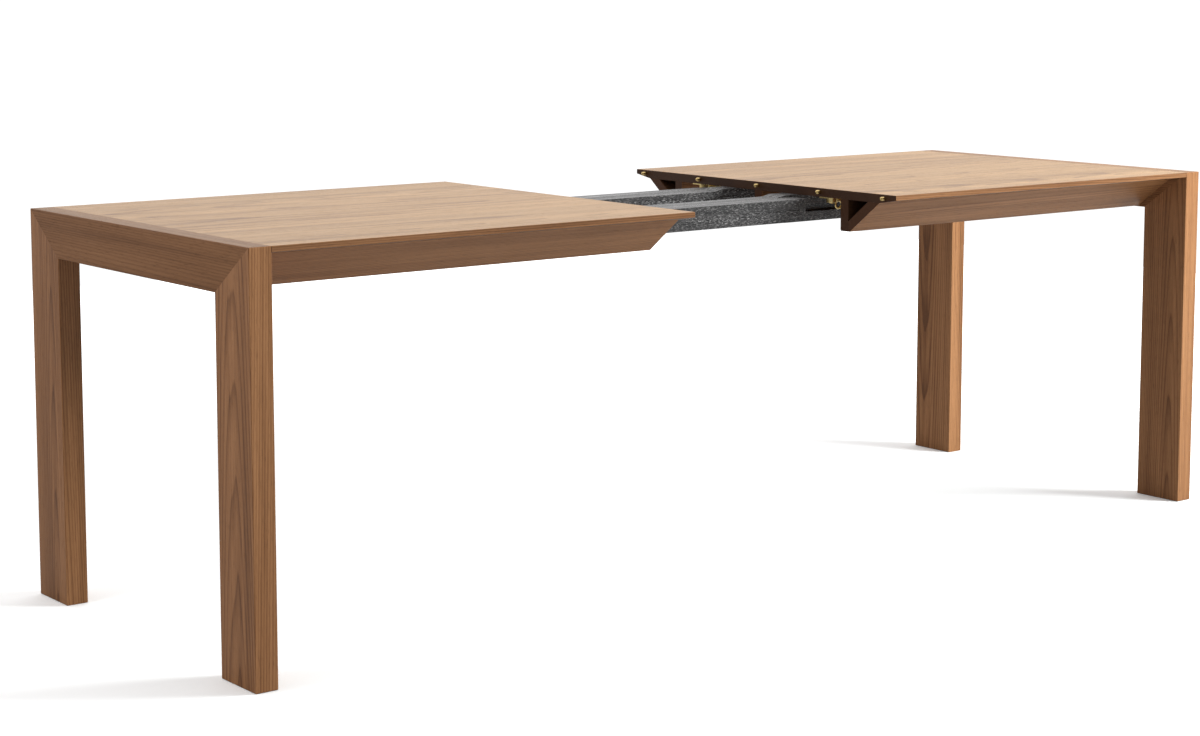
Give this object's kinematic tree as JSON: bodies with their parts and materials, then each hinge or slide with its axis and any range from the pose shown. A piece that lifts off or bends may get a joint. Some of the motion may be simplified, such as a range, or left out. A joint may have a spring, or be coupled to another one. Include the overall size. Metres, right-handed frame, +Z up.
{
  "type": "extendable dining table",
  "caption": "Rectangular wooden dining table whose two halves draw apart on timber slides to take a leaf, with mitred end frames and angled aprons.",
  "frame": {"origin": "on the floor, under the middle of the open table", "axes": "+X along the table towards the half with the leaf pins, +Y across the table, +Z up"},
  "size_m": [2.4, 0.82, 0.74],
  "materials": {
    "walnut_top": "satin oiled walnut, grain along the table",
    "walnut_end_rail": "satin oiled walnut, grain across the table",
    "walnut_leg": "satin oiled walnut, grain upright",
    "walnut_apron": "satin oiled walnut, grain along the table",
    "walnut_inner": "plain walnut, unpolished",
    "black_stained_wood": "black-stained open-grain hardwood, satin",
    "beech": "bare beech",
    "brass": "polished",
    "steel": "zinc plated"
  },
  "bodies": {
    "left_half": {"left_top_panel": "walnut_top", "left_edge_lipping": "walnut_top", "left_near_leg": "walnut_leg", "left_far_leg": "walnut_leg", "left_end_rail": "walnut_end_rail", "left_near_apron_board": "walnut_apron", "left_far_apron_board": "walnut_apron", "left_near_apron_rail": "walnut_inner", "left_far_apron_rail": "walnut_inner", "left_middle_runner": "walnut_inner", "left_near_slide": "black_stained_wood", "left_far_slide": "black_stained_wood", "left_near_tongue": "beech", "left_far_tongue": "beech", "left_near_corner_block": "beech", "left_far_corner_block": "beech", "left_mitre_dowels": "beech", "left_panel_dowels": "beech", "left_panel_screws": "steel", "left_block_screws": "steel", "left_leaf_sockets": "brass", "left_near_keeper": "brass", "left_far_keeper": "brass", "left_keeper_screws": "brass"},
    "right_half": {"right_top_panel": "walnut_top", "right_edge_lipping": "walnut_top", "right_near_leg": "walnut_leg", "right_far_leg": "walnut_leg", "right_end_rail": "walnut_end_rail", "right_near_apron_board": "walnut_apron", "right_far_apron_board": "walnut_apron", "right_near_apron_rail": "walnut_inner", "right_far_apron_rail": "walnut_inner", "right_middle_runner": "walnut_inner", "right_near_slide": "black_stained_wood", "right_far_slide": "black_stained_wood", "right_slide_stops": "beech", "right_near_corner_block": "beech", "right_far_corner_block": "beech", "right_mitre_dowels": "beech", "right_panel_dowels": "beech", "right_panel_screws": "steel", "right_block_screws": "steel", "right_leaf_pins": "brass", "right_near_latch_base": "brass", "right_far_latch_base": "brass", "right_latch_screws": "brass", "right_near_latch_pivot": "brass", "right_far_latch_pivot": "brass"},
    "near_latch": {"near_latch_lever": "brass"},
    "far_latch": {"far_latch_lever": "brass"}
  },
  "joints": [
    {"name": "extension", "type": "slide", "parent": "left_half", "child": "right_half", "axis": [1, 0, 0], "range_m": [-0.5195, 0.08]},
    {"name": "near_latch_swing", "type": "hinge", "parent": "right_half", "child": "near_latch", "pos_m": [0.282, -0.202, 0.7145], "axis": [0, 0, -1], "range_deg": [0, 180]},
    {"name": "far_latch_swing", "type": "hinge", "parent": "right_half", "child": "far_latch", "pos_m": [0.282, 0.202, 0.7145], "axis": [0, 0, 1], "range_deg": [0, 180]}
  ]
}
